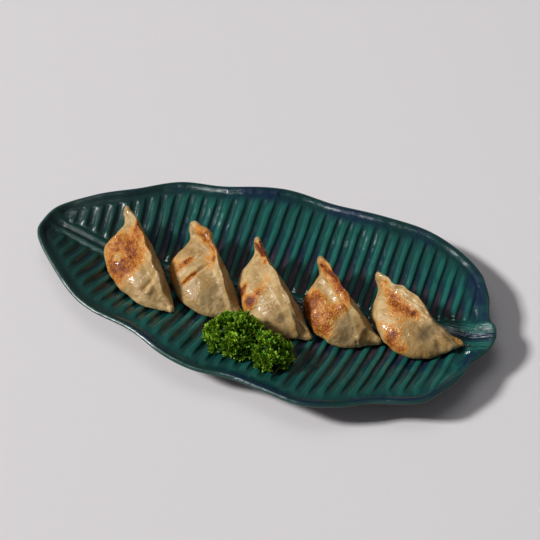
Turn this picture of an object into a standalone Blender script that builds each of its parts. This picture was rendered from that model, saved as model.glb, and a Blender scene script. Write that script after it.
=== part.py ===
"""Five pan-fried gyoza dumplings in a row on a leaf-shaped ribbed plate, with curly parsley.

Metres, +Z up. The plate stands on its flat foot at z = 0, with its stem end toward +X.
"""
import math

import bpy
import bmesh
from mathutils import Matrix, Vector, noise
from mathutils.bvhtree import BVHTree

MM = 0.001

# Plate: outline in mm, from the round leaf tip along the far side to the stem, and back
OUTLINE = [
    (-162, 4), (-156.5, 22), (-135.5, 38), (-111, 51), (-84, 68), (-51.5, 72), (-11.5, 82.5), (25, 79),
    (58, 77.5), (92, 74.5), (121, 59.5), (139, 39), (145, 15.5), (150.5, 9.5), (153, -2), (149, -15),
    (143, -24), (141, -35), (134, -51), (119, -66), (90, -74), (72, -83), (48, -90), (22, -86),
    (0, -82), (-25, -83), (-47, -78), (-72, -66), (-102, -57.5), (-123, -45.5), (-151, -19), (-160.5, -6),
]
FLOOR = 5.0 * MM
RIM_HEIGHT = 21.0 * MM
RIM_WAVE = 1.1 * MM
WAVE_LENGTH = 96 * MM
END_RISE = 8.0 * MM
RISE_FROM = 78 * MM
RISE_OVER = 68 * MM
FOOT_RISE = 7.2 * MM
UNDER_SLOPE = 1.25
LIP = 2.2 * MM
LIP_DROP = 1.8 * MM
LIP_DEPTH = 4.2 * MM

# Ribs run across the leaf, four rows of points each: foot, top, top, foot
RIB_PITCH = 8.8 * MM
RIB_COUNT = 32
RIB_FIRST = -143 * MM
RIB_STEPS = ((-0.30, 0.0), (-0.14, 1.0), (0.14, 1.0), (0.30, 0.0))
RIB_HEIGHT = 1.8 * MM
RIB_JITTER = 0.08
RIM_BAND = 8.5 * MM
RIB_SLOPE = 3.5 * MM
FULL_REACH = 30 * MM
RIB_BOW = 1.8 * MM
LEAN = {1: (math.radians(-1.5), math.radians(7.5)), -1: (math.radians(8), math.radians(8))}
LEAN_OVER = 110 * MM
TIP_FAN = 6
STEM_FAN = 7

# Midrib: a groove between two ridges, bending a little at the tip and flaring at the stem
RIDGE_OUT = 3.2 * MM
RIDGE_FOOT = 6.4 * MM
RIDGE_HEIGHT = 1.5 * MM
GROOVE_DEPTH = 0.6 * MM
BEND_FROM = -78 * MM
BEND = 2.0
RIDGE_END = 11 * MM
FLARE_FROM = 92 * MM
FLARE_OVER = 45 * MM

GAP = 0.4 * MM

# Dumplings: back and front tips in mm on the plate, then sizes in mm along the line between them
STATIONS = 26
SEAM_THICK = 1.7 * MM
SEAM_ROOT = 0.80
SEAM_WAVE = 0.7 * MM
CREST_WAVE = 0.5 * MM
WIDEST_AT = 0.27
HORN = 0.13
HORN_RISE = 8 * MM
HORN_WIDTH = 0.22
NOSE = 0.14
NOSE_WIDTH = 0.45
SHOULDER = 0.16
PLEAT_WIDTH = 0.035
PLEAT_DEPTH = 1.6 * MM
TIP_SIZE = 0.45
LUMP = 0.7 * MM
LUMP_SIZE = 13 * MM
DUMPLINGS = {
    "gyoza_1": dict(back_tip=(-107, 25), front_tip=(-52, -41), belly=27, belly_at=0.42, back=7, neck=0.07,
                    seam=(0, -1, 0, 1, 0), height=(19, 25, 26, 20, 3), wave=5, pleats=(0.72,)),
    "gyoza_2": dict(back_tip=(-60, 22), front_tip=(-11, -28), belly=30, belly_at=0.47, back=8, neck=0.06,
                    seam=(-1, -4, -2, 2, 0), height=(23, 28, 27, 20, 3), wave=4, pleats=(0.28, 0.46)),
    "gyoza_3": dict(back_tip=(-14, 23), front_tip=(39, -32), belly=30, belly_at=0.50, back=4, neck=0.03,
                    seam=(0, 4, 5, 5, 0), height=(24, 27, 28, 22, 3), wave=4, pleats=(0.22, 0.60)),
    "gyoza_4": dict(back_tip=(29, 22), front_tip=(83, -20), belly=33, belly_at=0.53, back=1, neck=0.07,
                    seam=(0, 3, 6, 8, 2), height=(22, 27, 28, 22, 5), wave=5, pleats=(0.40, 0.66)),
    "gyoza_5": dict(back_tip=(68, 21), front_tip=(134, -11), belly=34, belly_at=0.56, back=1, neck=0.03,
                    seam=(0, 3, 4, 6, 0), height=(21, 26, 26, 16, 3), wave=6, pleats=(0.48, 0.82)),
}

# Parsley clumps: centre in mm on the plate, half sizes, height, and the frills' own size
FRILL = 6.5 * MM
FRILL_HEIGHT = 4.0 * MM
PARSLEY = {
    "parsley_large": dict(centre=(-6, -51), half=(18, 15), height=19, turn=8),
    "parsley_small": dict(centre=(20, -58), half=(12.5, 12), height=15, turn=-20),
}

# Colour, roughness and metallic value of each material
FINISHES = {
    "plate": ((0.030, 0.105, 0.095), 0.22, 0.0),
    "gyoza": ((0.62, 0.47, 0.29), 0.42, 0.0),
    "parsley": ((0.09, 0.20, 0.015), 0.55, 0.0),
}


def clear_scene():
    """Remove whatever the scene holds."""
    for thing in list(bpy.data.objects):
        bpy.data.objects.remove(thing)


def smooth_step(value):
    """0 below 0 and 1 above 1, with an even slope between."""
    value = min(max(value, 0.0), 1.0)
    return value * value * (3 - 2 * value)


def through(values, s):
    """The value at s, from 0 to 1, of a smooth curve through evenly spaced values."""
    place = min(max(s, 0.0), 1.0) * (len(values) - 1)
    i = min(int(place), len(values) - 2)
    f = place - i
    before = values[max(i - 1, 0)]
    after = values[min(i + 2, len(values) - 1)]
    a, b = values[i], values[i + 1]
    slope_a, slope_b = (b - before) / 2, (after - a) / 2
    return (a * (1 + 2 * f) * (1 - f) ** 2 + slope_a * f * (1 - f) ** 2
            + b * f * f * (3 - 2 * f) + slope_b * f * f * (f - 1))


def bump(s, peak, fullness=2.2, roundness=0.6):
    """A rounded hump from 0 at s = 0 and s = 1 to 1 at s = peak."""
    s = min(max(s, 0.0), 1.0)
    u = s ** (math.log(0.5) / math.log(peak))
    return max(0.0, 1 - abs(2 * u - 1) ** fullness) ** roundness


def jitter(index, salt):
    """A steady random number from -1 to 1."""
    return noise.noise(Vector((index * 3.71, salt * 7.13, 0.5)))


def closed_curve(points, steps=12):
    """A smooth closed curve through the points, as many short straight runs."""
    curve = []
    n = len(points)
    for i in range(n):
        p0, p1, p2, p3 = (Vector(points[(i + k) % n]) * MM for k in (-1, 0, 1, 2))
        for k in range(steps):
            f = k / steps
            curve.append(0.5 * (2 * p1 + (p2 - p0) * f + (2 * p0 - 5 * p1 + 4 * p2 - p3) * f ** 2
                                + (3 * p1 - p0 - 3 * p2 + p3) * f ** 3))
    return curve


def reach(curve, start, angle):
    """The distance from start to the curve in the direction of the angle."""
    way = Vector((math.cos(angle), math.sin(angle)))
    best = None
    for a, b in zip(curve, curve[1:] + curve[:1]):
        edge = b - a
        cross = way.x * edge.y - way.y * edge.x
        if abs(cross) < 1e-12:
            continue
        gap = a - start
        along = (gap.x * edge.y - gap.y * edge.x) / cross
        part = (gap.x * way.y - gap.y * way.x) / cross
        if along > 0 and -1e-6 <= part <= 1 + 1e-6 and (best is None or along < best):
            best = along
    return best


def midrib_y(x):
    """The midrib is straight but for a slow bend near the tip."""
    return BEND * max(0.0, BEND_FROM - x) ** 2


def plate_columns(side):
    """Middle point, direction and raised share of each column on one side, from tip to stem."""
    first = RIB_FIRST - RIB_PITCH / 2
    last = RIB_FIRST + RIB_PITCH * (RIB_COUNT - 0.5)
    lean, more = LEAN[side]
    tip_angle = math.pi / 2 + lean + more
    stem_angle = math.pi / 2 + lean
    columns = []
    for k in range(TIP_FAN):
        columns.append((first, math.pi + (tip_angle - math.pi) * k / TIP_FAN, None))
    for rib in range(RIB_COUNT):
        shift = 0.04 * jitter(rib, 2)
        width = 1 + RIB_JITTER * jitter(rib, 5)
        for step, raised in RIB_STEPS:
            x = RIB_FIRST + RIB_PITCH * (rib + shift + step * width)
            angle = stem_angle + more * smooth_step(-x / LEAN_OVER)
            columns.append((x, angle, raised * (1 + RIB_JITTER * jitter(rib, 9 + side))))
    for k in range(1, STEM_FAN + 1):
        columns.append((last, stem_angle * (1 - k / STEM_FAN), None))
    return [(Vector((x, midrib_y(x))), side * angle, raised) for x, angle, raised in columns]


def ridge_share(way, distance, flare):
    """Height share of the midrib's groove and ridges near its ends, where the columns fan out."""
    across = abs(way.y) * distance / (RIDGE_OUT * flare)
    groove = -GROOVE_DEPTH / RIDGE_HEIGHT
    fade = 1 - smooth_step(abs(way.x) * distance / RIDGE_END)
    if across < 1:
        return fade * (groove + (1 - groove) * smooth_step(across))
    return fade * (1 - smooth_step(across - 1))


def dish_height(middle, point, share):
    """Height of the smooth dish at a share of the way from the midrib out to the rim point."""
    rise = END_RISE * smooth_step((abs(middle.x) - RISE_FROM) / RISE_OVER)
    centre = FLOOR + rise
    rim = RIM_HEIGHT + RIM_WAVE * math.cos((point.x + point.y / 2) / WAVE_LENGTH * 2 * math.pi)
    return centre + (rim - centre) * (1.35 * share ** 2 - 0.35 * share ** 6)


def top_rows(reach_out, flare):
    """Distance from the midrib, ridge share and rib share of each row on the upper face."""
    k = min(1.0, reach_out / FULL_REACH)
    ribs_in = RIDGE_FOOT * flare * k
    ribs_out = reach_out - (RIM_BAND + RIB_SLOPE) * k
    top_in = ribs_in + RIB_SLOPE * k
    third = (ribs_out - top_in) / 3
    return [
        (0.0, -GROOVE_DEPTH / RIDGE_HEIGHT, 0.0),
        (RIDGE_OUT * flare * k, 1.0, 0.0),
        (ribs_in, 0.0, 0.0),
        (top_in, 0.0, k),
        (top_in + third, 0.0, k),
        (top_in + 2 * third, 0.0, k),
        (ribs_out, 0.0, k),
        (reach_out - RIM_BAND * k, 0.0, 0.0),
        (reach_out - LIP, 0.0, 0.0),
    ]


def column_points(curve, middle, angle, raised, full=False):
    """Points of one column: the upper face and lip, then the under face. full fills the valleys."""
    way = Vector((math.cos(angle), math.sin(angle)))
    out = reach(curve, middle, angle)
    edge = middle + way * out
    flare = 1 + 0.9 * smooth_step((middle.x - FLARE_FROM) / FLARE_OVER)
    upper = []
    for distance, ridge, rib in top_rows(out, flare):
        share = distance / out
        height = dish_height(middle, edge, share)
        if full:
            height += RIB_HEIGHT * (1 + RIB_JITTER)
        elif raised is None:
            height += ridge_share(way, distance, flare) * RIDGE_HEIGHT
        else:
            height += ridge * RIDGE_HEIGHT + raised * rib * RIB_HEIGHT
        bow = 0.0 if raised is None or angle > 0 else 4 * RIB_BOW * share * (1 - share)
        spot = middle + way * distance
        upper.append((spot.x + bow, spot.y, height))
    rim = dish_height(middle, edge, 1.0)
    upper.append((*edge, rim - LIP_DROP))
    upper.append((*(middle + way * (out - LIP)), rim - LIP_DEPTH))
    centre = dish_height(middle, edge, 0.0)
    foot = math.sqrt(max(0.0, (FOOT_RISE - centre) / (rim - centre) / 1.35))
    under = []
    for share in (0.80, max(0.55, foot), foot, 0.0):
        height = UNDER_SLOPE * (dish_height(middle, edge, share) - FOOT_RISE)
        under.append((*(middle + way * out * share), max(0.0, height)))
    return upper, under


def plate_half(bm, curve, side, full=False):
    """One side of the plate: rows between columns above, and a coarser grid under them."""
    uppers, unders = [], []
    for middle, angle, raised in plate_columns(side):
        upper, under = column_points(curve, middle, angle, raised, full)
        uppers.append([bm.verts.new(p) for p in upper])
        unders.append(under)
    last = len(uppers) - 1
    kept = sorted(set(list(range(0, last, 4)) + [last]))
    coarse = {i: [bm.verts.new(p) for p in unders[i]] for i in kept}
    faces = []
    for a, b in zip(uppers, uppers[1:]):
        for row in range(len(a) - 1):
            faces.append((a[row], a[row + 1], b[row + 1], b[row]))
    for i, j in zip(kept, kept[1:]):
        a, b = coarse[i], coarse[j]
        half = (i + j) // 2
        for k in range(i, half):
            faces.append((uppers[k][-1], a[0], uppers[k + 1][-1]))
        faces.append((uppers[half][-1], a[0], b[0]))
        for k in range(half, j):
            faces.append((uppers[k][-1], b[0], uppers[k + 1][-1]))
        for row in range(len(a) - 1):
            faces.append((a[row], a[row + 1], b[row + 1], b[row]))
    for face in faces:
        bm.faces.new(face if side < 0 else face[::-1])


def tidy_mesh(bm):
    """Weld shared points, drop empty faces and turn every face outward."""
    bmesh.ops.remove_doubles(bm, verts=bm.verts, dist=0.00002)
    bmesh.ops.dissolve_degenerate(bm, edges=bm.edges, dist=0.00001)
    bmesh.ops.recalc_face_normals(bm, faces=bm.faces)


def new_object(name, bm, finish, parent, place=Matrix()):
    """A smooth-shaded object with its own material, placed under the parent."""
    mesh = bpy.data.meshes.new(name)
    bm.to_mesh(mesh)
    bm.free()
    mesh.shade_smooth()
    mesh.set_sharp_from_angle(angle=math.radians(60))
    colour, roughness, metallic = FINISHES[finish]
    material = bpy.data.materials.new(name)
    material.use_nodes = True
    shader = material.node_tree.nodes["Principled BSDF"]
    shader.inputs["Base Color"].default_value = (*colour, 1)
    shader.inputs["Roughness"].default_value = roughness
    shader.inputs["Metallic"].default_value = metallic
    mesh.materials.append(material)
    thing = bpy.data.objects.new(name, mesh)
    bpy.context.collection.objects.link(thing)
    thing.parent = parent
    thing.matrix_local = place
    bpy.context.view_layer.update()
    return thing


def plate_shape(curve, full=False):
    """The whole plate as a mesh. full gives the even surface that the rib tops touch."""
    bm = bmesh.new()
    for side in (1, -1):
        plate_half(bm, curve, side, full)
    tidy_mesh(bm)
    return bm


def resting_surface(curve, middle):
    """A function that gives the height of the rib tops at a place on the plate."""
    bm = plate_shape(curve, full=True)
    bmesh.ops.translate(bm, vec=-middle, verts=bm.verts)
    tree = BVHTree.FromBMesh(bm)
    bm.free()

    def height(x, y):
        hit = tree.ray_cast(Vector((x, y, 1.0)), Vector((0, 0, -1)))[0]
        return hit.z if hit else RIM_HEIGHT
    return height


def world_tree(thing):
    """A search tree of an object's faces where the object stands."""
    bm = bmesh.new()
    bm.from_mesh(thing.data)
    bmesh.ops.transform(bm, matrix=thing.matrix_world, verts=bm.verts)
    tree = BVHTree.FromBMesh(bm)
    bm.free()
    return tree


def too_close(point, trees):
    """Whether the point is inside one of the shapes, or nearer to it than three gaps."""
    for tree in trees:
        spot, normal, _, distance = tree.find_nearest(point)
        if distance < 3 * GAP or (distance < 12 * MM and (point - spot).dot(normal) < 0):
            return True
    return False


def kept_clear(point, heart, trees):
    """The point, drawn toward the heart of its own shape until it is clear of the others."""
    steps = 24
    for k in range(steps):
        drawn = point.lerp(heart, k / steps)
        if not too_close(drawn, trees):
            return drawn
    return point


def dumpling_section(size, s):
    """Ring of (toward the belly, height) pairs at s, from the seam round the belly and back."""
    front = size["belly"] * MM * bump(s, size["belly_at"])
    front *= HORN_WIDTH + (1 - HORN_WIDTH) * smooth_step((s - size["neck"]) / SHOULDER)
    front *= NOSE_WIDTH + (1 - NOSE_WIDTH) * smooth_step((1 - s) / NOSE)
    back = size["back"] * MM * bump(s, 0.45)
    ripple = 2 * math.pi * size["wave"] * s
    seam = through(size["seam"], s) * MM + SEAM_WAVE * math.sin(ripple)
    high = through(size["height"], s) * MM + CREST_WAVE * math.sin(ripple + 2)
    low = max(0.0, high - HORN_RISE) * (1 - smooth_step(s / HORN))
    full = smooth_step(s / HORN) * smooth_step((1 - s) / NOSE)
    for pleat in size["pleats"]:
        front -= PLEAT_DEPTH * math.exp(-((s - pleat) / PLEAT_WIDTH) ** 2) * full
    thick = SEAM_THICK * (0.75 + 0.25 * full)
    front = max(front, seam + 1.5 * thick)
    back = max(back, 1.5 * thick - seam)
    root_front, root_back = seam + 1.1 * thick, seam - 1.1 * thick
    points = [(seam + 0.55 * thick, 1.0), (root_front, SEAM_ROOT)]
    for k in (1, 2, 3, 4):
        turn = k * math.pi / 8
        points.append((root_front + (front - root_front) * math.sin(turn),
                       WIDEST_AT + (SEAM_ROOT - WIDEST_AT) * math.cos(turn)))
    points += [(front * 0.95, 0.10), (front * 0.78, 0.0), (front * 0.30, 0.0), (-back * 0.15, 0.0),
               (-back * 0.70, 0.0), (-back * 0.97, 0.16), (-back, 0.40),
               (0.45 * root_back - 0.55 * back, 0.64), (root_back, SEAM_ROOT),
               (seam - 0.55 * thick, 1.0)]
    if s <= 0 or s >= 1:
        mid_x = sum(x for x, z in points) / len(points)
        points = [(mid_x + TIP_SIZE * (x - mid_x), 0.5 + TIP_SIZE * (z - 0.5)) for x, z in points]
    return [(x, low + (high - low) * z) for x, z in points]


def dumpling(name, size, parent, ground, middle, trees):
    """A crescent of dough with a raised seam, lying across the plate and clear of its neighbour."""
    back_tip = Vector((*size["back_tip"], 0)) * MM - middle
    front_tip = Vector((*size["front_tip"], 0)) * MM - middle
    length = (front_tip - back_tip).length
    heading = math.atan2(front_tip.y - back_tip.y, front_tip.x - back_tip.x)
    place = Matrix.Translation(back_tip) @ Matrix.Rotation(heading, 4, "Z")
    bm = bmesh.new()
    rings = []
    for i in range(STATIONS + 1):
        even = i / STATIONS
        s = 0.45 * even + 0.55 * (1 - math.cos(math.pi * even)) / 2
        spot = place @ Vector((s * length, 0, 0))
        base = ground(spot.x, spot.y) + GAP
        ring = []
        for x, z in dumpling_section(size, s):
            point = place @ Vector((s * length, -x, 0))
            lump = noise.noise(Vector((point.x, point.y, z)) / LUMP_SIZE)
            point.z = base + z
            if z > 0.5 * MM:
                point += place.to_3x3() @ Vector((0, -1, 0.4)) * LUMP * lump * (1 if x > 0 else -1)
            if z < 0.1 * MM:
                point.z = ground(point.x, point.y) + GAP
            spine = Vector((spot.x, spot.y, point.z))
            point = kept_clear(point, spine, trees)
            point.z = max(point.z, ground(point.x, point.y) + GAP)
            ring.append(bm.verts.new(place.inverted() @ point))
        rings.append(ring)
    for a, b in zip(rings, rings[1:]):
        for k, corner in enumerate(a):
            bm.faces.new((a[k - 1], corner, b[k], b[k - 1]))
    bm.faces.new(rings[0])
    bm.faces.new(rings[-1][::-1])
    tidy_mesh(bm)
    return new_object(name, bm, "gyoza", parent, place)


def parsley(name, size, parent, ground, middle, trees):
    """A low clump with rounded frills all over, kept off the dumplings beside it."""
    centre = Vector((*size["centre"], 0)) * MM - middle
    base = ground(centre.x, centre.y) + GAP
    place = Matrix.Translation(centre) @ Matrix.Rotation(math.radians(size["turn"]), 4, "Z")
    bm = bmesh.new()
    bmesh.ops.create_icosphere(bm, subdivisions=4, radius=1.0)
    heart = place @ Vector((0, 0, base + 0.3 * size["height"] * MM))
    for vert in bm.verts:
        way = vert.co.copy()
        body = Vector((way.x * size["half"][0], way.y * size["half"][1],
                       (way.z + 0.55) / 1.55 * size["height"])) * MM
        near = noise.voronoi(body / FRILL, distance_metric="DISTANCE")[0][0]
        body += Vector((way.x, way.y, way.z)) * FRILL_HEIGHT * (0.5 - near)
        point = place @ Vector((body.x, body.y, base + body.z))
        point = kept_clear(point, heart, trees)
        point.z = max(point.z, ground(point.x, point.y) + GAP)
        vert.co = place.inverted() @ point
    tidy_mesh(bm)
    return new_object(name, bm, "parsley", parent, place)


def build():
    clear_scene()
    parent = bpy.data.objects.new("gyoza_on_plate", None)
    bpy.context.collection.objects.link(parent)
    curve = closed_curve(OUTLINE)
    plate = plate_shape(curve)
    xs = [v.co.x for v in plate.verts]
    ys = [v.co.y for v in plate.verts]
    middle = Vector(((min(xs) + max(xs)) / 2, (min(ys) + max(ys)) / 2, 0))
    bmesh.ops.translate(plate, vec=-middle, verts=plate.verts)
    new_object("plate", plate, "plate", parent)
    ground = resting_surface(curve, middle)
    trees = []
    for name, size in DUMPLINGS.items():
        trees.append(world_tree(dumpling(name, size, parent, ground, middle, trees)))
    for name, size in PARSLEY.items():
        trees.append(world_tree(parsley(name, size, parent, ground, middle, trees)))


build()
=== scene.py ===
import math
import random

import bpy
import bmesh
import numpy as np
from mathutils import Matrix, Vector
from mathutils.bvhtree import BVHTree
from mathutils.kdtree import KDTree


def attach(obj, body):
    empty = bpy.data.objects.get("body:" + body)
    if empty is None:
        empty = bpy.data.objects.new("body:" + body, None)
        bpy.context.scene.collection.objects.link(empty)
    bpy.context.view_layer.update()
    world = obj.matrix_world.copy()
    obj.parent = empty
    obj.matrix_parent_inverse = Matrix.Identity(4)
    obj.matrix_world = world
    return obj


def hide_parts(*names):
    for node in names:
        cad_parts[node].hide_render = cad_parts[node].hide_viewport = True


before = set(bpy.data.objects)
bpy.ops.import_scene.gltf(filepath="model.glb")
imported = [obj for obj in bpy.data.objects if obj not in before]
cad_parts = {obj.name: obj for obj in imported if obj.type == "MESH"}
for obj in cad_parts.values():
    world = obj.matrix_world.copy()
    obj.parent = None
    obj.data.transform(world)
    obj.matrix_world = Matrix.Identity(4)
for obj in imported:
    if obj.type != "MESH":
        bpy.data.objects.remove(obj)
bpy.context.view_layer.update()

# Five pan-fried gyoza on a glazed leaf plate, with curly parsley. Sizes are in mm, times MM.
MM = 0.001


# Colours of the finishes, as linear values

RIB_GREEN = (0.006, 0.050, 0.044)
RIB_LIGHT = (0.010, 0.106, 0.087)
VALLEY = (0.024, 0.018, 0.026)
VALLEY_LIGHT = (0.052, 0.040, 0.050)
NAVY = (0.004, 0.014, 0.042)
DEEP_TEAL = (0.004, 0.030, 0.030)
DARK_GREEN = (0.005, 0.020, 0.015)
LIP_GREEN = (0.030, 0.095, 0.070)
FOOT_CLAY = (0.060, 0.055, 0.060)

DOUGH = (0.375, 0.232, 0.086)
DOUGH_PALE = (0.530, 0.370, 0.170)
DOUGH_DEEP = (0.290, 0.155, 0.045)
# Dark filling seen through the dough, also used as painted shade in the pressed dents
FILLING_AND_DENT_SHADE = (0.190, 0.130, 0.066)
TOAST = (
    (0.00, (0.500, 0.320, 0.130)),
    (0.30, (0.560, 0.265, 0.060)),
    (0.54, (0.460, 0.160, 0.018)),
    (0.76, (0.260, 0.062, 0.005)),
    (1.00, (0.110, 0.020, 0.001)),
)
FRECKLE = TOAST[3][1]

# Parsley: a painted shade colour for deep in the clump, its own green, and a painted light colour for the
# tips
LEAF_IN_SHADE = (0.008, 0.034, 0.002)
LEAF = (0.080, 0.225, 0.007)
LEAF_TIP_LIT = (0.340, 0.560, 0.030)
FLOOR_GREY = (0.700, 0.672, 0.680)
FLOOR_SHADE = (0.660, 0.640, 0.645)
SURROUND = (0.93, 0.95, 1.0)


# Sculpting of each dumpling, in mm on the plate: a stroke runs from one place to another.
# toast: from, to, radius, strength; above 1 the crust is burnt, and below 0 the dough is left bare
# press: from, to, radius, depth; a depth below zero raises the dough
# shift: from, to, radius, how far along X, Y and Z
# lap: from, to, width, height of the dough that lies on the left of the line and ends in it
# fold: from, to, width, how far the sealed edge on the right of the line is lifted along X, Y and Z
# filling and dent shade: from, to, radius, strength of the dark filling behind the dough, which also
# paints shade into the pressed dents

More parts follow.
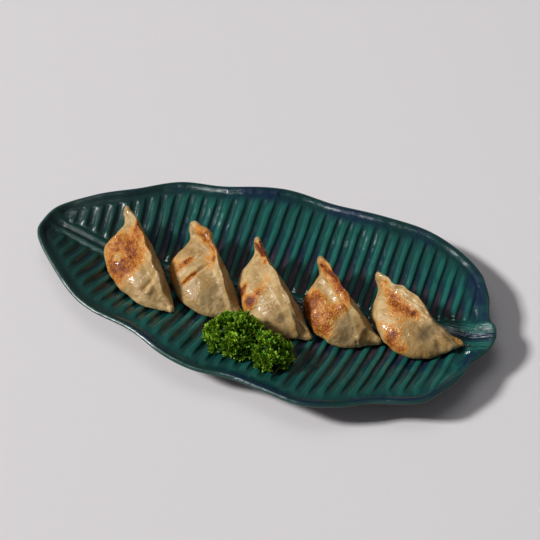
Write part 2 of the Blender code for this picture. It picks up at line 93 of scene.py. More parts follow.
GYOZA = {
    "gyoza_1": dict(
        toast=[
            ((-91, -3, 27), (-91, -3, 27), 12, 0.64), ((-100, -2, 24), (-100, -2, 24), 9, 0.40),
            ((-96, -14, 21), (-96, -14, 21), 7, 0.72), ((-88, -18, 24), (-88, -18, 24), 9, 0.58),
            ((-89, -22, 21), (-89, -22, 21), 8, 0.45), ((-83, -10, 27), (-83, -10, 27), 9, 0.42),
            ((-89, 13, 33), (-87, 8, 29), 4, 0.75), ((-84, 6, 29), (-84, 6, 29), 6, 0.45),
            ((-75, -3, 33), (-75, -3, 33), 5, 0.30), ((-95, -10, 25), (-95, -10, 25), 4, -0.90),
            ((-79, -2, 30), (-79, -2, 30), 1.0, 0.90), ((-73, -8, 29), (-73, -8, 29), 1.0, 0.90),
            ((-99, 22, 30), (-99, 22, 30), 0.9, 0.70), ((-65, -20, 27), (-65, -20, 27), 1.0, 0.80),
        ],
        press=[
            ((-69, -30, 24), (-65, -22, 27), 1.5, 1.3), ((-66, -32, 23), (-62, -23, 27), 2.6, -1.2),
            ((-72, -20, 27), (-72, -20, 27), 5, -1.1), ((-74, -29, 23), (-74, -29, 23), 4, -0.8),
            ((-97, 8, 24), (-90, 10, 26), 4, 1.0), ((-101, 25, 29), (-96, 18, 30), 3, -0.6),
        ],
        shift=[],
        lap=[((-68, -32, 24), (-64, -19, 27), 5, -0.9), ((-102, 4, 25), (-89, 9, 29), 5, 0.7)],
        fold=[((-88, 14, 33), (-55, -24, 18), 6.0, (0.9, -2.6, 3.4))],
        filling=[((-74, -22, 25), (-70, -26, 24), 6, 0.35)],
    ),
    "gyoza_2": dict(
        toast=[
            ((-48, 22, 33), (-42, 16, 35), 3.6, 0.95), ((-41, 13, 35), (-33, 6, 35), 2.8, 0.62),
            ((-32, 1, 33), (-28, 0, 27), 2.8, 0.66), ((-41, -10, 27), (-47, -17, 23), 1.9, 0.85),
            ((-47, 0, 28), (-54, -7, 25), 2.2, 0.75), ((-61, -3, 19), (-58, -11, 19), 7, 0.55),
            ((-36, 3, 30), (-33, -4, 29), 4, 0.30), ((-51, -4, 26), (-51, -4, 26), 5, 0.22),
        ],
        press=[
            ((-34, 0, 29), (-41, -10, 27), 1.3, 1.2), ((-41, -10, 27), (-48, -18, 22), 1.5, 1.5),
            ((-46, 1, 28), (-54, -8, 24), 1.5, 1.1), ((-23, -15, 25), (-27, -24, 21), 5, 1.6),
            ((-38, -14, 27), (-38, -14, 27), 5, -0.6), ((-52, 26, 31), (-42, 17, 34), 4, -1.8),
            ((-50, 25, 32), (-38, 13, 35), 6, -1.0),
        ],
        shift=[],
        lap=[((-48, -18, 22), (-31, 3, 30), 5, 0.9)],
        fold=[((-30, 5, 30), (-8, -22, 14), 5.0, (0.5, -1.0, 1.5))],
        filling=[((-23, -15, 25), (-26, -25, 20), 6, 0.55), ((-37, -17, 25), (-37, -17, 25), 6, 0.25)],
    ),
    "gyoza_3": dict(
        toast=[
            ((-9, 23, 30), (-2, 12, 35), 1.9, 1.45), ((-7, 23, 33), (0, 11, 36), 1.3, 1.3),
            ((2, 7, 35), (2, 7, 35), 3, 0.55), ((3, 3, 29), (8, -3, 30), 1.9, 1.35),
            ((-9, -12, 21), (-9, -12, 21), 3.6, 1.30), ((-7, -9, 24), (-7, -9, 24), 2.6, 1.1),
            ((-1, -19, 23), (-1, -19, 23), 4, 1.25), ((1, -18, 26), (1, -18, 26), 2.6, 1.1),
            ((3, -14, 28), (3, -14, 28), 3, 0.75), ((-13, -6, 14), (-9, -14, 13), 5, 0.60),
            ((4, -9, 29), (4, -9, 29), 5, 0.30), ((-4, -21, 18), (-4, -21, 18), 5, 0.35),
            ((-3, -7, 27), (-3, -7, 27), 3.4, -0.7),
        ],
        press=[
            ((-10, 23, 31), (-3, 13, 34), 1.5, 1.5), ((3, 3, 29), (8, -3, 30), 1.6, 0.9),
            ((-3, -8, 27), (-3, -8, 27), 4.5, -0.9), ((24, -27, 23), (24, -27, 23), 3.4, 0.9),
            ((-12, 25, 30), (-3, 14, 34), 3.5, -1.4),
        ],
        shift=[
            ((-10, 24, 31), (-10, 24, 31), 4, (-0.6, 0.8, 1.0)),
        ],
        lap=[((-4, 13, 31), (5, 1, 31), 3, 0.8)],
        fold=[((-4, 18, 34), (16, -4, 32), 6.5, (0.8, 0.2, 4.4)),
              ((16, -4, 32), (38, -27, 18), 6.0, (0.9, -0.8, 3.6))],
        filling=[((24, -27, 23), (24, -27, 23), 3.6, 0.9), ((16, -22, 26), (22, -20, 28), 7, 0.30)],
    ),
    "gyoza_4": dict(
        toast=[
            ((36, -8, 23), (36, -8, 23), 8, 0.80), ((42, -6, 28), (42, -6, 28), 6, 0.68),
            ((41, -18, 21), (41, -18, 21), 8, 0.68), ((33, -11, 15), (33, -11, 15), 8, 0.66),
            ((47, -24, 19), (47, -24, 19), 6, 0.62), ((53, -25, 20), (53, -25, 20), 5, 0.45),
            ((37, 19, 30), (47, 8, 34), 3.4, 0.85), ((47, 8, 34), (54, 1, 35), 4.4, 0.88),
            ((54, 1, 35), (60, -6, 33), 3.6, 0.72), ((52, -15, 27), (52, -15, 27), 6, 0.66),
            ((58, -11, 28), (58, -11, 28), 4.5, 0.60), ((46, -1, 30), (43, 5, 29), 4.5, -0.85),
        ],
        press=[
            ((64, -20, 24), (66, -26, 18), 5, 1.3), ((74, -16, 20), (73, -22, 17), 2.2, -1.0),
            ((46, -2, 30), (43, 4, 29), 4, 0.6), ((70, -24, 15), (70, -24, 15), 3, -0.7),
            ((31, 25, 28), (38, 18, 31), 3.5, -1.2),
        ],
        shift=[],
        lap=[((66, -13, 25), (75, -26, 13), 4, 0.5)],
        fold=[((40, 14, 32), (66, -12, 27), 5.0, (0.4, -0.1, 1.5))],
        filling=[((64, -20, 24), (66, -26, 18), 6, 0.85), ((60, -22, 22), (60, -22, 22), 5, 0.4)],
    ),
    "gyoza_5": dict(
        toast=[
            ((82, 12, 28), (89, 5, 29), 3.6, 0.48), ((89, 5, 29), (95, 1, 30), 4.6, 0.60),
            ((96, 0, 30), (106, -3, 30), 3.4, 0.54), ((103, -2, 30), (103, -2, 30), 1.3, 1.25),
            ((109, -4, 28), (109, -4, 28), 1.3, 1.2), ((87, 10, 28), (87, 10, 28), 1.6, 1.25),
            ((78, 17, 26), (78, 17, 26), 1.3, 1.0), ((94, -18, 24), (94, -18, 24), 5, 0.80),
            ((93, -21, 20), (93, -21, 20), 5, 0.80), ((102, -24, 20), (102, -24, 20), 4, 0.70),
            ((84, -12, 22), (84, -12, 22), 4, 0.30), ((118, 0, 28), (137, -7, 19), 2.6, 0.34),
            ((97, -8, 28), (92, -4, 28), 8, 0.28), ((76, 22, 27), (80, 18, 29), 2.6, 0.40),
        ],
        press=[
            ((116, -9, 25), (116, -9, 25), 5, 1.2), ((125, -16, 20), (122, -10, 22), 2.6, 0.9),
            ((90, 2, 28), (90, 2, 28), 4, 0.5), ((70, 28, 25), (78, 20, 29), 3.2, -1.1),
        ],
        shift=[((92, 10, 33), (106, 2, 33), 5, (0.8, 1.8, 0.6))],
        lap=[((119, -5, 28), (98, 5, 30), 4, 1.2), ((98, 5, 30), (83, 15, 29), 4, 0.8)],
        fold=[((110, 0, 30), (138, -9, 18), 6.0, (0.2, -0.8, 2.6))],
        filling=[((116, -9, 25), (113, -14, 24), 5, 0.90)],
    ),
}


# Shader maths

class Value:
    """A number that a finish's nodes work out. Sums on it add Math nodes."""

    def __init__(self, finish, socket):
        self.finish = finish
        self.socket = socket

    def worked(self, operation, a, b):
        return self.finish.node("ShaderNodeMath", {"operation": operation}, {0: a, 1: b})

    def __add__(self, other):
        return self.worked("ADD", self, other)

    def __sub__(self, other):
        return self.worked("SUBTRACT", self, other)

    def __rsub__(self, other):
        return self.worked("SUBTRACT", other, self)

    def __mul__(self, other):
        return self.worked("MULTIPLY", self, other)

    __radd__ = __add__
    __rmul__ = __mul__


class Finish:
    """A material with a Principled shader, whose other nodes are added through node()."""

    def __init__(self, name, **fixed):
        self.material = bpy.data.materials.new(name)
        self.material.use_nodes = True
        self.tree = self.material.node_tree
        self.shader = self.tree.nodes["Principled BSDF"]
        for socket, value in fixed.items():
            self.shader.inputs[socket.replace("_", " ")].default_value = value

    def node(self, kind, settings=None, inputs=None, output=0):
        """A node of the kind, set first, with its sockets then given values or links."""
        made = self.tree.nodes.new(kind)
        for setting, value in (settings or {}).items():
            setattr(made, setting, value)
        for key, value in (inputs or {}).items():
            self.give(made.inputs[key], value)
        return Value(self, made.outputs[output])

    def give(self, socket, value):
        """Link a worked value to a socket, or set the socket to a number or colour."""
        if isinstance(value, Value):
            self.tree.links.new(value.socket, socket)
        elif socket.type == "RGBA":
            socket.default_value = (*value[:3], 1)
        else:
            socket.default_value = value

    def set(self, **looks):
        """Give sockets of the Principled shader their values or links."""
        for socket, value in looks.items():
            self.give(self.shader.inputs[socket.replace("_", " ")], value)

    def painted(self, name):
        return self.node("ShaderNodeAttribute", {"attribute_name": name}, output="Fac")

    def place(self, stretch=(1, 1, 1)):
        """Object coordinates, times the stretch along X, Y and Z."""
        spot = self.node("ShaderNodeTexCoord", output="Object")
        if stretch == (1, 1, 1):
            return spot
        return self.node("ShaderNodeMapping", None, {"Vector": spot, "Scale": stretch})

    def part_of(self, vector, axis):
        """The X, Y or Z part of a vector, for axis 0, 1 or 2."""
        return self.node("ShaderNodeSeparateXYZ", None, {0: vector}, output=axis)

    def noise(self, size, detail=2.0, roughness=0.5, stretch=(1, 1, 1)):
        """Noise from 0 to 1 whose lumps are about the size, in metres."""
        return self.node("ShaderNodeTexNoise", None, {
            "Vector": self.place(stretch), "Scale": 1 / size, "Detail": detail,
            "Roughness": roughness})

    def cells(self, size):
        """Distance from the middle of the nearest of many cells of the size."""
        return self.node("ShaderNodeTexVoronoi", None, {"Vector": self.place(), "Scale": 1 / size})

    def step(self, value, low, high):
        """0 below low, 1 above high, smooth between."""
        return self.node("ShaderNodeMapRange", {"interpolation_type": "SMOOTHSTEP"},
                         {0: value, 1: low, 2: high, 3: 0.0, 4: 1.0})

    def mix(self, share, a, b):
        """The colour a at share 0, and b at share 1."""
        return self.node("ShaderNodeMix", {"data_type": "RGBA"}, {0: share, 6: a, 7: b}, output=2)

    def ramp(self, value, stops):
        """A colour read off a ramp of (place, colour) stops."""
        read = self.node("ShaderNodeValToRGB", None, {0: value})
        elements = read.socket.node.color_ramp.elements
        while len(elements) < len(stops):
            elements.new(1.0)
        for element, (place, colour) in zip(elements, stops):
            element.position = place
            element.color = (*colour, 1)
        return read

    def bump(self, height, depth, normal=None):
        """The normal of a surface raised by height times the depth."""
        inputs = {"Height": height, "Distance": depth, "Strength": 1.0}
        if normal is not None:
            inputs["Normal"] = normal
        return self.node("ShaderNodeBump", None, inputs)


# Modelling

TINY = 1e-12
MERGE_GAP = 0.01 * MM
PAIR_ANGLE = math.radians(75)
# How far above and below its line a lap or a fold reaches, in mm
LAP_REACH, FOLD_REACH = 7, 16
LAP_EDGE = 0.3 * MM
# Share of a line's length over which a lap or a fold fades at each end
LINE_END = 0.15
# Where a fold is full, where it starts to fall and where it is over, in widths from its line
FOLD_RISE, FOLD_FULL, FOLD_OVER = 0.7, 0.75, 1.4


def only(piece):
    """Select this object and nothing else, and make it active."""
    if bpy.context.object and bpy.context.object.mode != "OBJECT":
        bpy.ops.object.mode_set(mode="OBJECT")
    bpy.ops.object.select_all(action="DESELECT")
    piece.select_set(True)
    bpy.context.view_layer.objects.active = piece


def modified(piece, kind, **settings):
    """Put a modifier on the piece and apply it."""
    only(piece)
    modifier = piece.modifiers.new(kind.lower(), kind)
    for setting, value in settings.items():
        setattr(modifier, setting, value)
    bpy.ops.object.modifier_apply(modifier=modifier.name)


def subdivided(piece, levels, kind="CATMULL_CLARK"):
    modified(piece, "SUBSURF", subdivision_type=kind, levels=levels, render_levels=levels)


def copy_of(node, name):
    """A copy of a CAD node with its points merged and its triangles paired into quads."""
    piece = bpy.data.objects.new(name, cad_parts[node].data.copy())
    bpy.context.scene.collection.objects.link(piece)
    piece.data.materials.clear()
    only(piece)
    bpy.ops.mesh.customdata_custom_splitnormals_clear()
    bpy.ops.object.mode_set(mode="EDIT")
    bpy.ops.mesh.select_all(action="SELECT")
    bpy.ops.mesh.remove_doubles(threshold=MERGE_GAP)
    bpy.ops.mesh.mark_sharp(clear=True)
    bpy.ops.mesh.tris_convert_to_quads(face_threshold=PAIR_ANGLE, shape_threshold=PAIR_ANGLE)
    bpy.ops.object.mode_set(mode="OBJECT")
    bpy.ops.object.shade_smooth()
    return piece


def points_of(piece):
    flat = np.empty(len(piece.data.vertices) * 3)
    piece.data.vertices.foreach_get("co", flat)
    return flat.reshape(-1, 3)


def normals_of(piece):
    flat = np.empty(len(piece.data.vertices) * 3, dtype=np.float32)
    piece.data.vertex_normals.foreach_get("vector", flat)
    return flat.reshape(-1, 3)


def put_points(piece, points):
    piece.data.vertices.foreach_set("co", points.ravel())
    piece.data.update()


def paint(piece, name, values):
    """Keep a number for each point of the piece, which its finish reads."""
    layer = piece.data.attributes.new(name, "FLOAT", "POINT")
    layer.data.foreach_set("value", values.astype(np.float32))


def nearness(points, start, end, radius):
    """1 on the line from start to end, in mm, falling smoothly to 0 beyond the radius."""
    a, b = np.array(start) * MM, np.array(end) * MM
    way = b - a
    along = np.clip((points - a) @ way / max(way @ way, TINY), 0, 1)
    gap = np.linalg.norm(points - a - along[:, None] * way, axis=1)
    return np.exp(-(gap / (radius * MM)) ** 2)


def beside(points, start, end, reach):
    """Distance left of the line from start to end as seen from above, in metres, and a share that is
    1 alongside the line and falls to 0 past its ends, and above and below it by the reach, in mm."""
    a, b = np.array(start) * MM, np.array(end) * MM
    long = np.linalg.norm((b - a)[:2])
    way = (b - a)[:2] / long
    off = points - a
    along = off[:, :2] @ way / long
    side = way[0] * off[:, 1] - way[1] * off[:, 0]
    level = np.exp(-((off[:, 2] - along * (b - a)[2]) / (reach * MM)) ** 2)
    ends = smooth_step(along, -LINE_END, LINE_END) * (1 - smooth_step(along, 1 - LINE_END, 1 + LINE_END))
    return side, ends * level


def lapped(points, start, end, width):
    """1 just left of the line, falling to 0 at the width; 0 right of it."""
    side, share = beside(points, start, end, LAP_REACH)
    return share * smooth_step(side, -LAP_EDGE, LAP_EDGE) * (1 - smooth_step(side, 0, width * MM))


def folded(points, start, end, width):
    """0 at the line, rising to 1 right of it before the width, and falling beyond."""
    side, share = beside(points, start, end, FOLD_REACH)
    out = -side / (width * MM)
    return share * np.clip(out / FOLD_RISE, 0, 1) * (1 - smooth_step(out, FOLD_FULL, FOLD_OVER))


def smooth_step(values, low, high):
    share = np.clip((values - low) / (high - low), 0, 1)
    return share * share * (3 - 2 * share)


def clouds(name, size, depth=2):
    """A soft lumpy texture for the Displace modifier."""
    texture = bpy.data.textures.new(name, "CLOUDS")
    texture.noise_scale = size
    texture.noise_depth = depth
    return texture


def roughened(piece, texture, height):
    modified(piece, "DISPLACE", texture=texture, texture_coords="LOCAL", strength=height, mid_level=0.5)


def finished(piece, finish, node):
    """Give the piece its finish, and let it stand for its CAD node."""
    piece.data.materials.clear()
    piece.data.materials.append(finish.material)
    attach(piece, "root")
    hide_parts(node)


# The plate

RIB_HEIGHT = 1.8 * MM
RELIEF_LOW, RELIEF_HIGH = -0.75 * MM, 0.75 * MM
# Powers that give a rib its profile, near the midrib and near the rim
NARROW_RIB, BROAD_RIB = 1.15, 3.0
# How far a point's normal turns up on the upper side, and how little on the rim's crest
UPPER_FACING, CREST_FACING = 0.15, 0.45
# In each step of evening, the share of its height that a point keeps and that it takes from others
EVENING_STEPS = 260
KEPT, SHARED = 0.3, 0.7
NO_EDGE, SOME_EDGE = 1e-9, 1e-6

# Distances in from the rim, and the lowest that its crest comes
CREST_LOW = 14 * MM
LIP = 4 * MM
LIP_EASE = 6 * MM
RIBS_FULL = 18 * MM
RIM_REACH = 60 * MM
# The glaze's band at the rim has this share of its far width on the near side
NEAR_BAND = 0.5
FAR_SIDE = (-20 * MM, 30 * MM)

# The midrib's middle line, which bends toward the tip, and its half width, which flares at the stem
SPINE_Y = 3.7 * MM
SPINE_BEND_FROM = -73.4 * MM
SPINE_BEND = 2.0
RIDGE_OUT = 3.2 * MM
FLARE = 0.9
FLARE_FROM, FLARE_TO = 96 * MM, 142 * MM
# Distances from that line, in half widths: the midrib's edge, where the ribs are free of it, and
# the one painted on points that aren't on the upper side
MIDRIB_EDGE, RIBS_FREE, OFF_SPINE = 2.2, 3.4, 9.0

# The ribs stray a little to each side, in waves across and along the leaf
WOBBLE = 0.13 * MM
WOBBLE_FROM, WOBBLE_FULL = 6 * MM, 14 * MM
WOBBLE_WAVES = ((6.5 * MM, 23 * MM), (3.7 * MM, -9 * MM))


def along_leaf_mean(piece, points, upper):
    """Height of the upper face with its ribs evened out, by sharing it over edges along the leaf."""
    edges = np.empty(len(piece.data.edges) * 2, dtype=np.int64)
    piece.data.edges.foreach_get("vertices", edges)
    edges = edges.reshape(-1, 2)
    edges = edges[upper[edges[:, 0]] & upper[edges[:, 1]]]
    run = points[edges[:, 1]] - points[edges[:, 0]]
    weight = (run[:, 0] ** 2 / np.maximum((run[:, :2] ** 2).sum(axis=1), TINY)) ** 4
    count = len(points)
    total = np.bincount(edges[:, 0], weight, count) + np.bincount(edges[:, 1], weight, count) + NO_EDGE
    mean = points[:, 2].copy()
    for _ in range(EVENING_STEPS):
        shared = (np.bincount(edges[:, 0], weight * mean[edges[:, 1]], count)
                  + np.bincount(edges[:, 1], weight * mean[edges[:, 0]], count)) / total
        mean = np.where(total > SOME_EDGE, KEPT * mean + SHARED * shared, mean)
    return mean


def rim_distance(points, normals):
    """Distance of each point from the crest of the rim, up to RIM_REACH."""
    crest = np.nonzero((np.abs(normals[:, 2]) < CREST_FACING) & (points[:, 2] > CREST_LOW))[0]
    tree = KDTree(len(crest))
    for i, index in enumerate(crest):
        tree.insert(points[index], i)
    tree.balance()
    return np.array([min(tree.find(p)[2], RIM_REACH) for p in points])


def spine_distance(points):
    """Distance from the midrib's middle line, in half widths of the midrib."""
    bend = np.maximum(0.0, SPINE_BEND_FROM - points[:, 0])
    flare = 1 + FLARE * smooth_step(points[:, 0], FLARE_FROM, FLARE_TO)
    return np.abs(points[:, 1] - SPINE_Y - SPINE_BEND * bend ** 2) / (RIDGE_OUT * flare)


def leaf_plate():
    """The plate with rounded ribs, narrow and pointed near the midrib and broad toward the rim."""
    piece = copy_of("plate", "leaf_plate")
    subdivided(piece, 1, "SIMPLE")
    subdivided(piece, 1)
    points, normals = points_of(piece), normals_of(piece)
    upper = normals[:, 2] > UPPER_FACING
    mean = along_leaf_mean(piece, points, upper)
    relief = np.where(upper, points[:, 2] - mean, 0)
    rib = np.clip((relief - RELIEF_LOW) / (RELIEF_HIGH - RELIEF_LOW), 0, 1)
    rim = rim_distance(points, normals)
    spine = spine_distance(points)
    out = spine * RIDGE_OUT / (spine * RIDGE_OUT + rim)
    narrow = rib ** NARROW_RIB
    broad = 1 - (1 - rib) ** BROAD_RIB
    fade = smooth_step(rim, LIP, RIBS_FULL)
    shaped = (narrow + (broad - narrow) * out) * fade
    on_ribs = upper & (rim > LIP) & (spine > MIDRIB_EDGE)
    paint(piece, "rib", np.where(on_ribs, rib, 0.5))
    paint(piece, "out", np.where(on_ribs, out, 1.0))
    far = smooth_step(points[:, 1], *FAR_SIDE)
    paint(piece, "rim", rim / (RIM_REACH * (NEAR_BAND + (1 - NEAR_BAND) * far)))
    paint(piece, "lip", rim / RIM_REACH)
    paint(piece, "spine", np.where(upper, spine, OFF_SPINE))
    raised = (shaped - rib) * RIB_HEIGHT * smooth_step(rim, LIP, LIP_EASE)
    points[:, 2] += np.where(on_ribs, raised, 0)
    free = smooth_step(rim, WOBBLE_FROM, WOBBLE_FULL) * smooth_step(spine, MIDRIB_EDGE, RIBS_FREE)
    free = np.where(on_ribs, free, 0)
    for across, along in WOBBLE_WAVES:
        points[:, 0] += free * WOBBLE * np.sin(points[:, 1] / across + points[:, 0] / along)
    put_points(piece, points)
    return piece


# Where the glaze darkens toward the tip, along X, and toward the near side, along Y
TIP_FADE = (-150 * MM, -30 * MM)
NEAR_FADE = (-75 * MM, -20 * MM)
# How streaks are stretched, along the ribs or along the midrib
RIB_GRAIN, MIDRIB_GRAIN, RIPPLE_GRAIN = (4, 0.7, 1), (0.7, 5, 1), (2.5, 0.6, 1)
GLAZE_RELIEF, GLAZE_WAVE = 0.5 * MM, 4 * MM
GLAZE_ROUGHNESS = 0.11


def glaze_finish():
    """Green glaze that breaks to purple-brown in the valleys and pools navy near the rim."""
    glaze = Finish("leaf_glaze", IOR=1.5)
    rib, out = glaze.painted("rib"), glaze.painted("out")
    rim, lip, spine = glaze.painted("rim"), glaze.painted("lip"), glaze.painted("spine")
    tip = 1 - glaze.step(glaze.part_of(glaze.place(), 0), *TIP_FADE)
    near = 1 - glaze.step(glaze.part_of(glaze.place(), 1), *NEAR_FADE)
    drift = glaze.noise(40 * MM, 3)
    cloud = glaze.noise(12 * MM, 4, 0.6)
    streak = glaze.noise(9 * MM, 4, 0.6, stretch=RIB_GRAIN)
    brush = glaze.noise(10 * MM, 3, 0.6, stretch=MIDRIB_GRAIN)
    ripple = glaze.noise(3.0 * MM, 3, 0.6, stretch=RIPPLE_GRAIN)
    speck = glaze.noise(1.1 * MM, 2)
    # Light green on the ribs, brown in the valleys, and pools of teal and navy further out
    top = glaze.mix(glaze.step(cloud * 0.6 + streak * 0.4 + (rib - 0.6) * 0.3, 0.35, 0.70),
                    RIB_GREEN, RIB_LIGHT)
    pool = glaze.mix(glaze.step(drift, 0.42, 0.60), DEEP_TEAL, NAVY)
    valley = glaze.mix(glaze.step(streak, 0.35, 0.7), VALLEY, VALLEY_LIGHT)
    valley = glaze.mix(glaze.step(out + (drift - 0.5) * 0.5 + tip * 0.6, 0.32, 0.62), valley, pool)
    edge = rib + out * 0.95 + (streak - 0.5) * 0.34
    body = glaze.mix(glaze.step(edge, 0.38, 0.52), valley, glaze.mix(out, DEEP_TEAL, NAVY))
    body = glaze.mix(glaze.step(edge, 0.46, 0.68), body, top)
    # The band round the rim, and the two ridges of the midrib with the groove between them
    band = glaze.mix(glaze.step(cloud, 0.45, 0.75) * 0.7, pool, RIB_GREEN)
    shore = 1 - glaze.step(rim + (streak - 0.5) * 0.16, 0.10, 0.30)
    body = glaze.mix(shore, body, band)
    ridge = glaze.mix(glaze.step(brush, 0.35, 0.65), RIB_GREEN, RIB_LIGHT)
    groove = glaze.mix(glaze.step(brush, 0.40, 0.60), DEEP_TEAL, NAVY)
    middle = glaze.mix(glaze.step(spine, 0.35, 0.8), groove, ridge)
    midrib = 1 - glaze.step(spine, 1.5, 2.1)
    body = glaze.mix(midrib, body, middle)
    # Darker toward the tip and the near side, worn thin at the lip, specked, and bare underneath
    body = glaze.mix(tip * 0.80 + near * 0.35, body, DARK_GREEN)
    edge_band = 1 - glaze.step(lip + (cloud - 0.5) * 0.03, 0.012, 0.045)
    body = glaze.mix(edge_band * 0.5, body, LIP_GREEN)
    body = glaze.mix(glaze.step(speck, 0.62, 0.72) * 0.3, body, DARK_GREEN)
    facing = glaze.part_of(glaze.node("ShaderNodeNewGeometry", output="Normal"), 2)
    body = glaze.mix(glaze.step(facing, -0.9, -0.6), FOOT_CLAY, body)
    relief = cloud * 0.5 + ripple * 0.35 + speck * 0.08 + brush * midrib * 2.4
    wave = glaze.bump(drift, GLAZE_WAVE)
    dull = shore * 0.05 + tip * 0.14 + midrib * 0.10
    glaze.set(Base_Color=body, Roughness=GLAZE_ROUGHNESS + streak * 0.10 + speck * 0.06 + dull,
              Normal=glaze.bump(relief * (1 - tip * 0.7), GLAZE_RELIEF, wave))
    return glaze


# The dumplings

LUMPS = clouds("dough_lumps", 9 * MM)
BLISTERS = clouds("dough_blisters", 2.2 * MM, 3)
LUMP_HEIGHT, BLISTER_HEIGHT = 1.5 * MM, 0.12 * MM
DOUGH_LEVELS = 3
DOUGH_ROUGHNESS = 0.34
DOUGH_RELIEF = 1.0 * MM
OIL_SHINE = 0.38


def dumpling(name, marks):
    """A dumpling with its pleats pressed in, its toasted places painted, and its dark filling painted
    behind the dough together with painted shade in its pressed dents.
    """
    piece = copy_of(name, name + "_dough")
    subdivided(piece, DOUGH_LEVELS)
    points, normals = points_of(piece), normals_of(piece)
    moved = points.copy()
    for start, end, radius, depth in marks["press"]:
        moved -= normals * (nearness(points, start, end, radius) * depth * MM)[:, None]
    for start, end, width, height in marks["lap"]:
        moved += normals * (lapped(points, start, end, width) * height * MM)[:, None]
    for start, end, width, lift in marks["fold"]:
        moved += folded(points, start, end, width)[:, None] * np.array(lift) * MM
    for start, end, radius, step in marks["shift"]:
        moved += nearness(points, start, end, radius)[:, None] * np.array(step) * MM
    put_points(piece, moved)
    clear, bare, burnt = np.ones(len(points)), np.ones(len(points)), np.zeros(len(points))
    for start, end, radius, strength in marks["toast"]:
        share = nearness(moved, start, end, radius) * abs(strength)
        if strength > 0:
            clear *= 1 - np.minimum(share, 1)
            burnt = np.maximum(burnt, share - 1)
        else:
            bare *= 1 - share
    paint(piece, "toast", (1 - clear) * bare + burnt)
    # The dark filling behind the dough, which also stands for painted shade in the pressed dents
    dark = np.zeros(len(points))
    for start, end, radius, strength in marks["filling"]:
        dark = np.maximum(dark, nearness(moved, start, end, radius) * strength)
    paint(piece, "filling", dark)
    roughened(piece, LUMPS, LUMP_HEIGHT)
    roughened(piece, BLISTERS, BLISTER_HEIGHT)
    return piece


def dough_finish():
    """Steamed and oiled dough, with a mottled, blistered crust where it met the pan."""
    dough = Finish("gyoza_dough", IOR=1.40, Specular_IOR_Level=0.40, Subsurface_Weight=0.16,
                   Subsurface_Scale=2.5 * MM, Subsurface_Radius=(1.0, 0.6, 0.3), Coat_Roughness=0.07)
    toast, filling = dough.painted("toast"), dough.painted("filling")
    broad = dough.noise(14 * MM, 2)
    mottle = dough.noise(3.6 * MM, 4, 0.6)
    oil = dough.step(dough.noise(3.0 * MM, 3, 0.6), 0.44, 0.66)
    pimple = dough.noise(1.8 * MM, 2)
    blister = dough.step(dough.cells(1.6 * MM), 0.15, 0.55)
    freckles = dough.step(dough.noise(1.3 * MM, 1), 0.70, 0.78) * dough.step(broad, 0.48, 0.56)
    grain = dough.noise(1.0 * MM, 3, 0.6)
    # The dough, with the filling dark behind it and painted shade in the pressed dents
    base = dough.mix(dough.step(broad, 0.38, 0.62), DOUGH, DOUGH_PALE)
    base = dough.mix(dough.step(mottle, 0.44, 0.66) * 0.7, base, DOUGH_DEEP)
    base = dough.mix(dough.step(grain, 0.50, 0.72) * 0.35, base, DOUGH_PALE)
    base = dough.mix(dough.step(filling + (broad - 0.5) * 0.3, 0.1, 0.9) * 0.7, base, FILLING_AND_DENT_SHADE)
    base = dough.mix(freckles * 0.6, base, FRECKLE)
    # The crust, uneven only where the dough is toasted
    inside = dough.step(toast, 0.06, 0.42)
    uneven = (mottle - 0.5) * 1.30 + (grain - 0.5) * 0.60 + (blister - 0.6) * 0.20
    spread = toast * 0.98 + uneven * inside
    colour = dough.mix(dough.step(spread, 0.06, 0.34), base, dough.ramp(spread, TOAST))
    height = grain * (0.08 + inside * 0.20) + pimple * 0.18 + mottle * 0.42 + blister * inside * 0.3
    crisp = dough.step(spread, 0.3, 0.8)
    dough.set(Base_Color=colour, Roughness=DOUGH_ROUGHNESS + crisp * 0.06 + grain * 0.10,
              Coat_Weight=oil * OIL_SHINE, Normal=dough.bump(height, DOUGH_RELIEF))
    return dough


# The parsley

SPRIGS = {
    "parsley_large": dict(sprigs=34, leaflets=56, seed=11),
    "parsley_small": dict(sprigs=20, leaflets=54, seed=12),
}
SPRIG_GAP = 4.6 * MM
SPRIG_INSET = 2.6 * MM
SIDE_FACING = -0.2
TRIES = 30
CORE_INSET = 2.6 * MM
CLEAR = 0.4 * MM
ABOVE = Vector((0, 0, 30 * MM))
DOWN = Vector((0, 0, -1))
# How far from the heart of a sprig its leaflets start, in mm
SPRIG_REACH = 2.4
# How strongly they scatter about the way out of the clump, and how far they twist, in radians
SCATTER, TWIST = 1.15, 1.3
LEAFLET_SIZE = (2.3 * MM, 4.9 * MM)
# The leaflet's own shape, with its length as 1. Notches and points take turns round the fan: each
# has its sign in that turn, the share of its distance out that it keeps, and how far it is lifted
LEAFLET_TIPS = 5
LEAFLET_THICKNESS = 0.10
LEAFLET_HUB = 0.2
LEAFLET_NOTCHES = (1, 0.66, 0.16)
LEAFLET_POINTS = (-1, 1.0, -0.04)
STEM_WIDTH, WIDENING = 0.35, 0.75
LEAFLET_CURL = 0.35
LEAF_ROUGHNESS = 0.45


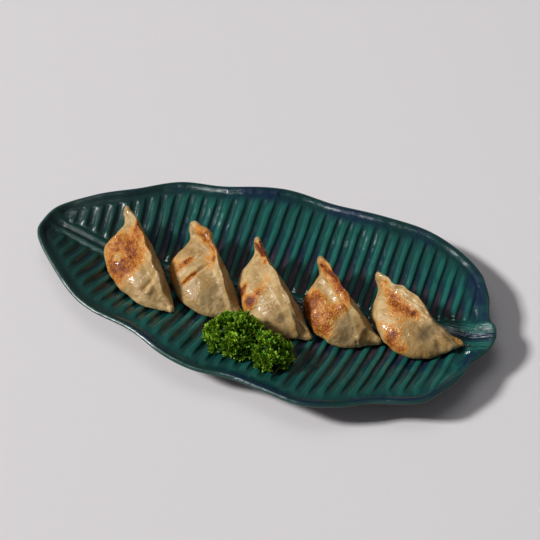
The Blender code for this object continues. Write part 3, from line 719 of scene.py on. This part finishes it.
def leaflet_shape():
    """One leaflet of length 1, its stem end at the origin: a thin closed fan of crinkled tips
    toward +Y, whose notches are drawn in and lifted between its points."""
    bpy.ops.mesh.primitive_cone_add(vertices=2 * LEAFLET_TIPS, radius1=0.5, depth=LEAFLET_THICKNESS,
                                    end_fill_type="TRIFAN", rotation=(0, 0, math.pi / 2))
    bpy.ops.object.transform_apply(location=False, rotation=True, scale=False)
    leaflet = bpy.context.object
    for sign, wider, lift in (LEAFLET_NOTCHES, LEAFLET_POINTS):
        bpy.ops.object.mode_set(mode="EDIT")
        bm = bmesh.from_edit_mesh(leaflet.data)
        bpy.ops.mesh.select_all(action="DESELECT")
        for vert in bm.verts:
            turn = round(math.atan2(vert.co.y, vert.co.x) / (math.pi / LEAFLET_TIPS))
            vert.select = vert.co.xy.length > LEAFLET_HUB and (-1) ** turn == sign
        bm.select_flush_mode()
        bpy.ops.transform.resize(value=(wider, wider, 1), center_override=(0, 0, 0))
        bpy.ops.transform.translate(value=(0, 0, lift))
        bpy.ops.object.mode_set(mode="OBJECT")
    points = points_of(leaflet)
    points[:, 1] += 0.5
    points[:, 0] *= STEM_WIDTH + WIDENING * points[:, 1]
    points[:, 2] += LEAFLET_CURL * points[:, 1] ** 2
    faces = [tuple(face.vertices) for face in leaflet.data.polygons]
    bpy.data.objects.remove(leaflet)
    return points, faces


def tree_of(*pieces):
    """A search tree of the faces of some finished pieces."""
    bm = bmesh.new()
    for piece in pieces:
        bm.from_mesh(piece.data)
    tree = BVHTree.FromBMesh(bm)
    bm.free()
    return tree


def surface_spots(piece, count, gap, draw):
    """Places on the piece's upper and side faces, at least the gap apart, with the way out of each."""
    mesh = piece.data
    mesh.calc_loop_triangles()
    triangles = [t for t in mesh.loop_triangles if t.normal.z > SIDE_FACING]
    areas = np.cumsum([t.area for t in triangles])
    spots = []
    for _ in range(count * TRIES):
        triangle = triangles[int(np.searchsorted(areas, draw.random() * areas[-1]))]
        a, b, c = (mesh.vertices[i].co for i in triangle.vertices)
        u, v = sorted((draw.random(), draw.random()))
        spot = a * u + b * (v - u) + c * (1 - v)
        if len(spots) < count and all((spot - other).length > gap for other, _ in spots):
            spots.append((spot, triangle.normal.copy()))
    return spots


def leaflet_place(spot, out, draw):
    """Where a leaflet of a sprig starts, which way it points, and its turn."""
    way = Vector((draw.gauss(0, 1), draw.gauss(0, 1), draw.gauss(0, 1))).normalized()
    way = (way * SCATTER + out).normalized()
    turn = way.to_track_quat("Y", "Z").to_matrix() @ Matrix.Rotation(draw.uniform(-TWIST, TWIST), 3, "Y")
    return spot + way * draw.uniform(0, SPRIG_REACH) * MM, way, turn


def parsley_leaves(node, size, leaflet, food, plate):
    """Sprigs of curly leaflets all over the clump as one piece, and the core under them, painted dark as
    the shade inside the clump.
    """
    core = copy_of(node, node + "_core")
    draw = random.Random(size["seed"])
    shape, shape_faces = leaflet
    points, faces, shades = [], [], []
    for spot, out in surface_spots(core, size["sprigs"], SPRIG_GAP, draw):
        heart = spot - out * SPRIG_INSET
        bright = draw.uniform(-0.12, 0.15)
        for _ in range(size["leaflets"]):
            start, way, turn = leaflet_place(heart, out, draw)
            long = draw.uniform(*LEAFLET_SIZE)
            tip = start + way * long
            near, normal = food.find_nearest(tip)[:2]
            ground = plate.ray_cast(tip + ABOVE, DOWN)[0]
            if (tip - near).dot(normal) < CLEAR or (ground and tip.z < ground.z + CLEAR):
                continue
            first = len(points) * len(shape)
            points.append(shape * long @ np.array(turn).T + np.array(start))
            faces += [tuple(i + first for i in face) for face in shape_faces]
            # Painted light toward the leaflet's tip and away from the heart of its sprig, and painted
            # shade near that heart
            far = (start - heart).length / (SPRIG_REACH * MM)
            shade = shape[:, 1] * 0.62 + far * 0.30 + bright + draw.uniform(-0.1, 0.1)
            shades.append(np.clip(shade, 0, 1))
    mesh = bpy.data.meshes.new(node + "_leaves")
    mesh.from_pydata(np.concatenate(points).tolist(), [], faces)
    leaves = bpy.data.objects.new(node + "_leaves", mesh)
    bpy.context.scene.collection.objects.link(leaves)
    paint(leaves, "tip", np.concatenate(shades))
    flat = points_of(core)
    put_points(core, flat - normals_of(core) * CORE_INSET)
    subdivided(core, 1)
    # The core takes the darkest painted shade
    paint(core, "tip", np.zeros(len(core.data.vertices)))
    return leaves, core


def leaf_finish():
    """Fresh parsley green, with painted shade inside the clump and painted light, yellow-green, at the
    curled tips.
    """
    leaf = Finish("parsley_leaf", Subsurface_Weight=0.1, Subsurface_Scale=1.0 * MM,
                  Specular_IOR_Level=0.22)
    tip = leaf.painted("tip")
    patch = leaf.noise(6 * MM, 2)
    vein = leaf.noise(0.8 * MM, 2)
    # Painted shade deep in the clump, and painted light at the leaflets' tips
    colour = leaf.mix(leaf.step(tip, 0.10, 0.55), LEAF_IN_SHADE, LEAF)
    colour = leaf.mix(leaf.step(tip + (patch - 0.5) * 0.6, 0.55, 1.0), colour, LEAF_TIP_LIT)
    leaf.set(Base_Color=colour, Roughness=LEAF_ROUGHNESS + vein * 0.2, Normal=leaf.bump(vein, 0.2 * MM))
    return leaf


# The setting: floor, lights and camera. Places here are in metres, and powers in watts.

FLOOR_SIZE = 4
FLOOR_LOW = 0.2 * MM
FLOOR_TONE = 0.3

KEY_PLACE, KEY_SIZE, KEY_POWER = (-8.88, -3.12, 7.44), 1.86, 1620
FILL_PLACE, FILL_SIZE, FILL_POWER = (-0.4, 0.4, 2.4), 1.4, 9
GLEAM_PLACE, GLEAM_SIZE, GLEAM_POWER = (-0.44, -0.10, 1.07), 0.26, 0.10
GLEAM_AIM, GLEAM_BEAM = (0.05, 0.05, 0), 22
SURROUND_STRENGTH = 0.11

CAMERA_PLACE = (0.22681, -0.69676, 0.90666)
CAMERA_TILT, CAMERA_TURN = 40, 17.5
LENS, SENSOR_WIDTH = 117.47, 36


def floor():
    bpy.ops.mesh.primitive_plane_add(size=FLOOR_SIZE, location=(0, 0, -FLOOR_LOW))
    ground = bpy.context.object
    ground.name = "floor"
    paper = Finish("floor_paper", Roughness=0.85)
    tone = paper.noise(FLOOR_TONE, 2)
    paper.set(Base_Color=paper.mix(tone * 0.1, FLOOR_GREY, FLOOR_SHADE))
    ground.data.materials.append(paper.material)


def softbox(name, place, size, power, aim=(0, 0, 0), beam=180, mirrored=True, lit=True):
    """A square of light that faces a place on the plate, its beam's angle in degrees. It is
    mirrored in the glaze and the oil, lights what it falls on, or both."""
    light = bpy.data.lights.new(name, "AREA")
    light.size = size
    light.energy = power
    light.spread = math.radians(beam)
    holder = bpy.data.objects.new(name, light)
    bpy.context.scene.collection.objects.link(holder)
    holder.location = place
    holder.rotation_euler = (Vector(aim) - Vector(place)).to_track_quat("-Z", "Y").to_euler()
    holder.visible_glossy = mirrored
    holder.visible_diffuse = lit


def lights():
    """A key light on the left, a soft fill overhead, a dim surround, and a small light with a
    narrow beam that only makes highlights."""
    softbox("key_light", KEY_PLACE, KEY_SIZE, KEY_POWER)
    softbox("fill_light", FILL_PLACE, FILL_SIZE, FILL_POWER, mirrored=False)
    softbox("gleam_light", GLEAM_PLACE, GLEAM_SIZE, GLEAM_POWER, aim=GLEAM_AIM, beam=GLEAM_BEAM, lit=False)
    world = bpy.data.worlds.new("surround")
    world.use_nodes = True
    background = world.node_tree.nodes["Background"]
    background.inputs["Color"].default_value = (*SURROUND, 1)
    background.inputs["Strength"].default_value = SURROUND_STRENGTH
    bpy.context.scene.world = world
    bpy.context.scene.view_settings.view_transform = "Standard"


def camera():
    """The photograph's view: 50 degrees above the table, from a little to the right of the front."""
    lens = bpy.data.cameras.new("camera")
    lens.lens = LENS
    lens.sensor_width = SENSOR_WIDTH
    holder = bpy.data.objects.new("camera", lens)
    bpy.context.scene.collection.objects.link(holder)
    holder.location = CAMERA_PLACE
    holder.rotation_euler = (math.radians(CAMERA_TILT), 0, math.radians(CAMERA_TURN))
    bpy.context.scene.camera = holder


def build():
    bpy.ops.object.select_all(action="DESELECT")
    camera()
    lights()
    floor()
    plate = leaf_plate()
    finished(plate, glaze_finish(), "plate")
    dough = dough_finish()
    dumplings = {name: dumpling(name, marks) for name, marks in GYOZA.items()}
    for name, piece in dumplings.items():
        finished(piece, dough, name)
    leaf, leaflet = leaf_finish(), leaflet_shape()
    food, ground = tree_of(*dumplings.values()), tree_of(plate)
    for name, size in SPRIGS.items():
        for piece in parsley_leaves(name, size, leaflet, food, ground):
            finished(piece, leaf, name)


build()
